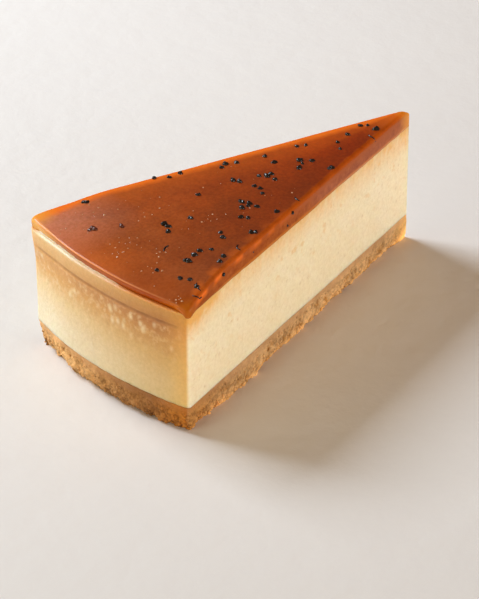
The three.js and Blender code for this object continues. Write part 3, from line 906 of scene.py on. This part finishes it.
class BuildGlaze(bpy.types.Operator):
    """The caramel glaze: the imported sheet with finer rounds, a drip at the near corner and tiny bubbles."""

    bl_idname = "cheesecake.glaze"
    bl_label = "Glaze"

    def execute(self, context):
        self.sheet(slice_outline(sizes().wall_step / MM))
        self.bubbles()
        return {"FINISHED"}

    def sheet(self, outline):
        """Rings up the side, round the upper edge and in over the top. The side bulges on the cut faces, leans
        in under the rim's lip, and drips a little at the near corner."""
        side_x, side_y = outline["x"], outline["y"]
        side_rings = slice(0, SIDE_RINGS)
        round_rings = slice(SIDE_RINGS, SIDE_RINGS + ROUND_RINGS)
        top_rings = slice(SIDE_RINGS + ROUND_RINGS, None)
        into_far_corner = smoothstep(from_cut_face(side_x, side_y) / FAR_CORNER_BLEND)
        rim = np.where(side_y > 0, into_far_corner, outline["rim"])
        bottom = FILLING_TOP - 0.05
        side = np.linspace(0, 1, SIDE_RINGS + 1)[:-1, None]
        turn = np.linspace(0, np.pi / 2, ROUND_RINGS)[:, None]
        top = np.concatenate([np.linspace(TOP_START, 12, 22), np.linspace(12.8, CENTRE_INSET - 0.4, 15)])
        top = top[:, None]

        foot_inset = RIM_LIP_INSET + (RIM_FOOT_INSET - RIM_LIP_INSET) * (1 - np.sin(side * np.pi / 2))
        round_inset = CUT_EDGE_ROUND * (1 - rim) + RIM_LIP_ROUND * rim
        edge_inset = RIM_LIP_INSET * rim + round_inset * (1 - np.cos(turn))
        top_inset = np.repeat(top, len(rim), axis=1)
        x, y = shrink(outline, np.concatenate([foot_inset * rim, edge_inset, top_inset]))
        level = glaze_level(x, y)

        drip = DRIP_DEPTH * corner_share(side_x, side_y, NEAR, DRIP_REACH) * (0.4 + 0.6 * (1 - rim))
        wander = lattice_noise(side_x / FOOT_WANDER_SIZE, side_y / FOOT_WANDER_SIZE, 2.5)
        foot = bottom - drip + FOOT_WANDER * wander * (1 - 0.6 * rim)
        z_side = foot + (level[SIDE_RINGS] - round_inset - foot) * side
        z_round = level[round_rings] - round_inset * (1 - np.sin(turn))
        ripple = lattice_noise(x[top_rings] / TOP_RIPPLE_SIZE, y[top_rings] / TOP_RIPPLE_SIZE, 7)
        z_top = level[top_rings] + TOP_RIPPLE * ripple * smoothstep((top - TOP_START) / 4)
        z = np.concatenate([z_side, z_round, z_top])

        near = corner_share(side_x, side_y, NEAR, CORNER_BULGE_REACH)
        bulge = (CUT_BULGE * (1 - rim) + CORNER_BULGE * near) * past_tip(side_x, 3, 0.5)
        fade = np.concatenate([np.ones(SIDE_RINGS + ROUND_RINGS), 1 - top[:, 0] / CENTRE_INSET])[:, None]
        out = filling_relief(outline, FILLING_TOP) * fade
        out[side_rings] += bulge * (0.6 + 0.4 * np.sin(np.pi * side))
        out[round_rings] += bulge * 0.6 * (1 - np.sin(turn))
        x = x + outline["nx"] * out
        y = y + outline["ny"] * out

        attributes = {
            "from_cut": np.clip(from_cut_face(x, y), 0, None),
            "from_rim": np.clip(from_rim(x, y) - RIM_LIP_INSET, 0, None),
            "down": np.clip(level - z, 0, None),
            "rim": rim,
            "along": -x / CAKE_RADIUS,
            "far_side": smoothstep(y / 2 + 0.5),
            "far_corner": corner_share(x, y, FAR, 8),
            "near_corner": corner_share(x, y, NEAR, 5),
            "front_edge": corner_share(x, y, NEAR, 66, 11),
            "across": y / RIM_CORNER[1],
            "turn": np.arctan2(y, -x) / HALF_ANGLE,
        }
        piece = closed_skin("glaze_sheet", x, y, z, bottom, GLAZE_TOP + 0.02, attributes)
        caramel_surface(piece)
        rides_for(piece, "glaze", "glaze")

    def bubbles(self):
        """Bubbles in patches and lone ones at hashed places, each sunk a little into the glaze."""
        lone = np.arange(sizes().bubble_count)
        from_tip = 118 - 62 * hash01(lone, 3, 3) ** 1.4
        across = (2 * hash01(lone, 4, 6) - 1) * (from_tip * math.tan(HALF_ANGLE) - 3)
        grouped_x, grouped_y = patch_places(BUBBLE_PATCHES)[:2]
        x = np.concatenate([grouped_x, -from_tip])
        y = np.concatenate([grouped_y, across])
        number = np.arange(len(x))
        radius = np.where(number < len(grouped_x), 0.2, 0.12) + 0.22 * hash01(number, 8, 1) ** 3
        centres = np.stack([x, y, glaze_surface(x, y) - 0.45 * radius], axis=-1)
        bubbles = lumps("glaze_bubbles", centres, radius, 0.12, 10, 6, {"shade": hash01(number, 1, 1)})
        bubble_surface(bubbles)
        rides_for(bubbles, "glaze")


# How the caramel's colour changes from the near side of the slice to the far one
# Painted sheen: deeper towards the near side, paler and greyer towards the far side, where the lamp's reflection
# falls
CARAMEL_SHEEN_TINTS = [
    [0.1, (0.88, 0.86, 0.62)], [0.3, (0.99, 0.98, 0.8)], [0.5, (1.2, 1.26, 1.1)], [0.7, (1.27, 1.34, 1.5)],
    [0.9, (1.24, 1.36, 1.7)],
]
# Tones of the glaze's side along the rim, from the near corner to the far one
# Partly painted light: the far end glows paler where light comes through the thin corner
SIDE_TONES_AND_GLOW = [
    [0.0, (0.62, 0.165, 0.006)], [0.06, (0.56, 0.13, 0.004)], [0.175, (0.38, 0.057, 0.001)],
    [0.325, (0.41, 0.07, 0.003)], [0.475, (0.44, 0.088, 0.01)], [0.62, (0.40, 0.08, 0.009)],
    [0.775, (0.50, 0.134, 0.022)], [0.9, (0.80, 0.36, 0.09)], [1.0, (0.88, 0.44, 0.09)],
]
# Other tones of the caramel, of its top and then of its sides and edges, and of the bubbles and specks on it
DEEP_CARAMEL = (0.27, 0.029, 0.001)
DARK_CARAMEL = (0.15, 0.026, 0.004)
MILKY_CARAMEL_AND_SHEEN = (0.42, 0.13, 0.04)
# Painted sheen near the rim's far corner
SHEEN_CARAMEL = (0.58, 0.31, 0.24)
CARAMEL_GRAIN_TINTS = ((0.86, 0.84, 0.8), (1.12, 1.14, 1.2))
DROP_CARAMEL = (0.45, 0.11, 0.003)
# Painted light through the glaze's far corner
FAR_CORNER_LIT_CARAMEL = (0.82, 0.37, 0.05)
LOW_SIDE_CARAMELS = ((0.30, 0.055, 0.003), (0.43, 0.10, 0.013))
FOOT_CARAMEL = (0.60, 0.17, 0.015)
# Painted highlight on the rim's lip
LIP_HIGHLIGHT_CARAMEL = (0.90, 0.36, 0.13)
# Painted light through the glaze at the pointed end
POINT_LIT_CARAMEL = (0.90, 0.36, 0.03)
BUBBLE_CARAMELS = ((0.44, 0.17, 0.065), (0.62, 0.32, 0.17))
SPECK_CAST = (0.03, 0.011, 0.005)
SPECK_BROWN = (0.10, 0.018, 0.005)


def caramel_surface(piece):
    """Caramel under a gloss: deep brown inside, with painted light: amber where its edges let light through,
    painted sheen towards the far corner and a painted highlight on the rim's lip; red-brown sides.
    """
    surface = Surface(
        "caramel",
        Specular_IOR_Level=0.16,
        Subsurface_Weight=0.08,
        Subsurface_Scale=0.002,
        Subsurface_Radius=(1.0, 0.35, 0.08),
    )
    palette = colours()
    amber = palette.amber
    down, rim, along, across, turn = surface.attributes("down", "rim", "along", "across", "turn")
    from_cut, from_edge, far_side = surface.attributes("from_cut", "from_rim", "far_side")
    near_corner, far_corner, front_edge = surface.attributes("near_corner", "far_corner", "front_edge")

    colour = surface.mix(surface.span(along, 0.25, 0.85), DEEP_CARAMEL, palette.caramel)
    # Painted sheen across the slice
    colour = surface.dyed(colour, surface.ramp(surface.span(turn, -1, 1), CARAMEL_SHEEN_TINTS), 1.0)
    colour = surface.over(colour, DARK_CARAMEL, surface.clouds(13, 3, 0.38, 0.66, 0, 0.45))
    # Partly the glaze's own milky clouds, partly painted sheen, growing towards the rim
    milky_and_sheen = surface.clouds(9, 3, 0.3, 0.65)
    colour = surface.over(colour, MILKY_CARAMEL_AND_SHEEN, milky_and_sheen, surface.span(along, 0.6, 0.98, 0, 0.25))
    # Painted sheen: paler, greyer caramel near the rim towards the far corner
    sheen_share = surface.span(turn, 0.15, 0.8, 0, 0.4)
    colour = surface.over(colour, SHEEN_CARAMEL, surface.span(along, 0.78, 0.95), sheen_share)
    grain = surface.clouds(0.9, 2, 0.32, 0.68, roughness=0.6)
    colour = surface.dyed(colour, surface.mix(grain, *CARAMEL_GRAIN_TINTS), 1.0)

    inside = surface.maths("ADD", from_cut, surface.clouds(4.0, 3, 0.3, 0.7, -0.4, 0.4))
    stride = surface.maths("ADD", surface.times(along, 90), surface.clouds(12, 2, 0.3, 0.7, 0, 3))
    # Painted light: patches where light comes through the near cut edge
    lit_windows = surface.times(
        surface.span(surface.maths("SINE", stride), -0.7, 0.6),
        surface.span(from_cut, 1.8, 3.8, 1, 0),
        front_edge,
    )
    # Painted light: amber where light comes through thin edges, the far side, near the rim and at the pointed end
    lit = surface.highest(
        surface.times(surface.span(inside, 1.6, 4.8, 1, 0), far_side),
        surface.times(surface.span(inside, 3, 12, 0.27, 0), far_side),
        surface.span(inside, 0.0, 1.6, 0.5, 0),
        surface.times(surface.span(from_edge, 0.1, 14, 0.24, 0), surface.span(across, -0.9, 0.1, 0.4, 1)),
        surface.maths("POWER", surface.span(along, 0.05, 0.19, 0.85, 0), 1.4),
        surface.times(lit_windows, 0.36),
    )
    colour = surface.over(colour, amber, lit)
    colour = surface.over(colour, DROP_CARAMEL, near_corner, 0.8)
    # Painted light: the far corner glows where light comes through it
    colour = surface.over(colour, FAR_CORNER_LIT_CARAMEL, far_corner, 0.7)

    low_side = surface.mix(surface.clouds(2.0, 3, 0.35, 0.65, roughness=0.6), *LOW_SIDE_CARAMELS)
    low_side = surface.over(low_side, FOOT_CARAMEL, surface.span(down, 4.6, 5.5))
    side_cut = surface.mix(surface.span(down, 1.7, 2.7), palette.edge, low_side)
    side_cut = surface.over(side_cut, amber, lit_windows, surface.span(down, 1.4, 2.8, 1, 0))
    side_cut = surface.over(side_cut, DROP_CARAMEL, near_corner)
    colour = surface.over(colour, side_cut, surface.span(down, 0.45, 1.1), surface.span(rim, 0.1, 0.7, 1, 0))

    on_rim = surface.span(rim, 0.3, 0.8)
    # Part painted light: the side glows towards the far corner
    side_rim = surface.ramp(surface.span(across, -1, 1), SIDE_TONES_AND_GLOW)
    colour = surface.over(colour, side_rim, surface.span(down, 0.15, 0.4), on_rim)
    # Painted highlight: a bright line along the rim's lip, fading towards the near corner
    lip = surface.times(
        surface.span(from_edge, 0.1, 0.4, 1, 0),
        surface.span(down, 0.15, 0.35, 1, 0),
        on_rim,
        surface.span(across, -0.75, 0.0, 0.1, 0.9),
    )
    colour = surface.over(colour, LIP_HIGHLIGHT_CARAMEL, lip)
    # Painted light: amber at the pointed end, where light comes through the thin glaze
    colour = surface.over(colour, POINT_LIT_CARAMEL, surface.span(along, 0.008, 0.06, 0.85, 0))
    normal = surface.bump(surface.noise(0.9, 2, 0.5), 0.016, Normal=surface.bump(surface.noise(7, 2), 0.03))
    dull = surface.span(along, 0.6, 0.97, 0.17, 0.18)
    surface.finish(piece, colour, normal, surface.times(dull, surface.clouds(6, 3, 0.3, 0.7, 0.88, 1.12)))


def bubble_surface(piece):
    """A tiny bubble's skin: paler caramel under a thin gloss."""
    gloss = {"Coat_Weight": 0.5, "Coat_Roughness": 0.05}
    surface = Surface("bubble_skin", Roughness=0.2, Specular_IOR_Level=0.3, **gloss)
    colour = surface.mix(*surface.attributes("shade"), *BUBBLE_CARAMELS)
    surface.finish(piece, colour, surface.bump(surface.noise(0.3, 2), 0.02))


class BuildSpecks(bpy.types.Operator):
    """The black specks in their patches and the thin dark slivers between them."""

    bl_idname = "cheesecake.specks"
    bl_label = "Specks"

    def execute(self, context):
        centres, radii = speck_places()
        number = np.arange(len(radii))
        on_top = len(radii) - len(SIDE_SPECKS)
        brown = (number >= on_top - BROWN_SPECKS) & (number < on_top)
        shade = np.where(brown, 1.0, 0.9 * hash01(number, 6, 6))
        specks = lumps("glaze_specks", centres, radii, 0.42, 16, 11, {"shade": shade})
        speck_surface(specks, "black_speck")
        rides_for(specks, "glaze")
        slivers = sliver_piece("glaze_slivers")
        speck_surface(slivers, "dark_sliver")
        rides_for(slivers, "glaze")
        return {"FINISHED"}


def sliver_piece(name):
    """Thin curved tubes: along a sliver, t from -1 to 1, the middle line runs length t / 2 ahead and bend
    times 1 less t squared aside, and the radius falls as the root of 1 less t to the fourth."""
    t = np.linspace(-1, 1, SLIVER_RINGS)[:, None]
    turn = 2 * np.pi * np.arange(SLIVER_SIDES) / SLIVER_SIDES
    radius = SLIVER_RADIUS * np.sqrt(np.clip(1 - t**4, 0.03, 1))
    points = []
    for from_tip, across, length, heading, bend in SLIVERS:
        ahead_x, ahead_y = math.cos(math.radians(heading)), math.sin(math.radians(heading))
        line_x = -from_tip + ahead_x * length * t / 2 - ahead_y * bend * (1 - t * t)
        line_y = across + ahead_y * length * t / 2 + ahead_x * bend * (1 - t * t)
        x = line_x - ahead_y * radius * np.cos(turn)
        y = line_y + ahead_x * radius * np.cos(turn)
        z = glaze_surface(line_x, line_y) + 0.05 + radius * np.sin(turn)
        points.append(np.stack([x, y, z], axis=-1).reshape(-1, 3))
    start = np.arange(len(SLIVERS))[:, None, None] * SLIVER_RINGS * SLIVER_SIDES
    quads = (ring_faces(SLIVER_RINGS, SLIVER_SIDES)[0] + start).reshape(-1, 4)
    first = np.arange(SLIVER_SIDES)[::-1]
    last = (SLIVER_RINGS - 1) * SLIVER_SIDES + np.arange(SLIVER_SIDES)
    ends = (np.stack([first, last]) + start).reshape(-1, SLIVER_SIDES)
    points = np.concatenate(points)
    return mesh_piece(name, points, [quads, ends], {"shade": np.zeros(len(points))})


def speck_surface(piece, name):
    """Nearly black grains with a wet gloss and a faint brown cast, a few of them brown."""
    surface = Surface(name, Roughness=0.55, Specular_IOR_Level=0.12, Coat_Weight=0.6, Coat_Roughness=0.04)
    colour = surface.over(colours().speck, SPECK_CAST, surface.clouds(0.5, 3, 0.4, 0.7, 0, 0.6))
    colour = surface.over(colour, SPECK_BROWN, surface.span(*surface.attributes("shade"), 0.9, 0.96))
    surface.finish(piece, colour, surface.bump(surface.noise(0.35, 3), 0.08))


# Camera: the photograph's viewing angle, with the frame taken to be 479 by 599
PHOTO_HEIGHT_PX = 599
CAMERA_AZIMUTH = -43.262
CAMERA_ELEVATION = 32.499
CAMERA_FOCAL_PX = 3700.0
CAMERA_DISTANCE = 1062.0
CAMERA_AIM = (-60.456, 8.329, 0.0)  # in the slice's frame
SENSOR_MM = 36.0

# Soft lamps [name, azimuth and elevation in degrees, distance, width and height in metres, strength].
# Strength is how bright each colour of the lamp makes a white card where the slice stands.
LAMPS = [
    ["window", 103, 40, 0.9, 0.44, 0.35, (0.95, 1.07, 1.19)],
    ["right_card", -75, 7, 1.0, 0.9, 0.22, (0.55, 0.56, 0.55)],
    ["left_card", 170, 10, 1.0, 0.9, 0.3, (0.31, 0.37, 0.31)],
]
LAMP_AIM = (0, 0, 0.02)

# The room: its light, a dark part and a brighter part [direction, outer and inner degrees, colour]
ROOM_LIGHT = (0.37, 0.25, 0.155)
ROOM_PARTS = [
    [(0.596, 0.596, 0.537), 58, 22, (0.05, 0.04, 0.03)],
    [(0.36, 0.62, 0.70), 26, 5, (0.3, 0.3, 0.3)],
]
FLOOR_REACH_M = 3.0
FLOOR_TONES = ((0.765, 0.727, 0.695), (0.795, 0.755, 0.722))


class BuildStage(bpy.types.Operator):
    """A plain pale floor, soft studio light from behind and beside the slice, and the camera."""

    bl_idname = "cheesecake.stage"
    bl_label = "Stage"

    def execute(self, context):
        scene = context.scene
        scene.view_settings.view_transform = "Standard"
        scene.view_settings.look = "None"
        self.floor()
        self.world(scene)
        for lamp in LAMPS:
            self.light(*lamp)
        self.camera(scene)
        return {"FINISHED"}

    def floor(self):
        mesh = bpy.data.meshes.new("floor")
        corners = [(FLOOR_REACH_M * x, FLOOR_REACH_M * y, 0) for x, y in ((-1, -1), (1, -1), (1, 1), (-1, 1))]
        mesh.from_pydata(corners, [], [(0, 1, 2, 3)])
        floor = bpy.data.objects.new("floor", mesh)
        bpy.context.collection.objects.link(floor)
        surface = Surface("pale_plaster", Roughness=0.9, Specular_IOR_Level=0.2)
        colour = surface.mix(surface.noise(60, 3), *FLOOR_TONES)
        surface.finish(floor, colour, surface.bump(surface.noise(9, 4), 0.4))

    def world(self, scene):
        """Each part of the room is full within its inner degrees of a direction and gone at its outer ones."""
        world = bpy.data.worlds.new("studio")
        tree = Nodes(world)
        place = tree.add("ShaderNodeTexCoord", {}, "Generated")
        room = ROOM_LIGHT
        for direction, outer, inner, colour in ROOM_PARTS:
            inputs = {0: place, 1: Vector(direction).normalized()}
            facing = tree.add("ShaderNodeVectorMath", inputs, "Value", operation="DOT_PRODUCT")
            ends = [math.cos(math.radians(angle)) for angle in (outer, inner)]
            room = tree.mix(tree.span(facing, *ends, way="SMOOTHSTEP"), room, colour)
        tree.join(room, tree.nodes["Background"].inputs["Color"])
        tree.join(1.0, tree.nodes["Background"].inputs["Strength"])
        scene.world = world

    def light(self, name, azimuth, elevation, distance, width, height, strength):
        """A soft lamp that faces the slice."""
        data = bpy.data.lights.new(name, "AREA")
        data.shape = "RECTANGLE"
        data.size = width
        data.size_y = height
        data.energy = math.pi**2 * distance**2 * max(strength)
        data.color = [value / max(strength) for value in strength]
        turn, rise = math.radians(azimuth), math.radians(elevation)
        back = Vector((math.cos(turn) * math.cos(rise), math.sin(turn) * math.cos(rise), math.sin(rise)))
        self.place(bpy.data.objects.new(name, data), Vector(LAMP_AIM), back, distance)

    def camera(self, scene):
        data = bpy.data.cameras.new("camera")
        data.lens = SENSOR_MM * CAMERA_FOCAL_PX / PHOTO_HEIGHT_PX
        data.clip_end = 20
        camera = bpy.data.objects.new("camera", data)
        turn, rise = math.radians(CAMERA_AZIMUTH), math.radians(CAMERA_ELEVATION)
        back = Vector((math.sin(turn) * math.cos(rise), -math.cos(turn) * math.cos(rise), math.sin(rise)))
        aim = Vector((np.array(CAMERA_AIM) + TIP) * MM)
        self.place(camera, aim, back, CAMERA_DISTANCE * MM)
        scene.camera = camera

    def place(self, thing, aim, back, distance):
        """Puts a lamp or camera back from what it aims at, in metres, and turns it to face that."""
        thing.location = aim + back * distance
        thing.rotation_euler = back.to_track_quat("Z", "Y").to_euler()
        bpy.context.collection.objects.link(thing)


BUILDERS = (BuildCrumbBase, BuildFilling, BuildGlaze, BuildSpecks, BuildStage)


class CheesecakePanel(bpy.types.Panel):
    """The slice's sizes and colours, and a button for each piece."""

    bl_idname = "VIEW3D_PT_cheesecake"
    bl_label = "Cheesecake slice"
    bl_space_type = "VIEW_3D"
    bl_region_type = "UI"
    bl_category = "Cheesecake"

    def draw(self, context):
        for group in (context.scene.cheesecake_sizes, context.scene.cheesecake_colours):
            box = self.layout.box()
            for key in group.__annotations__:
                box.prop(group, key)
        for builder in BUILDERS:
            self.layout.operator(builder.bl_idname)


CLASSES = (CheesecakeSizes, CheesecakeColours, *BUILDERS, CheesecakePanel)


def register():
    for cls in CLASSES:
        bpy.utils.register_class(cls)
    bpy.types.Scene.cheesecake_sizes = bpy.props.PointerProperty(type=CheesecakeSizes)
    bpy.types.Scene.cheesecake_colours = bpy.props.PointerProperty(type=CheesecakeColours)


def unregister():
    del bpy.types.Scene.cheesecake_colours
    del bpy.types.Scene.cheesecake_sizes
    for cls in reversed(CLASSES):
        bpy.utils.unregister_class(cls)


def main():
    register()
    bpy.ops.cheesecake.crumb_base()
    bpy.ops.cheesecake.filling()
    bpy.ops.cheesecake.glaze()
    bpy.ops.cheesecake.specks()
    bpy.ops.cheesecake.stage()


if __name__ == "__main__":
    main()
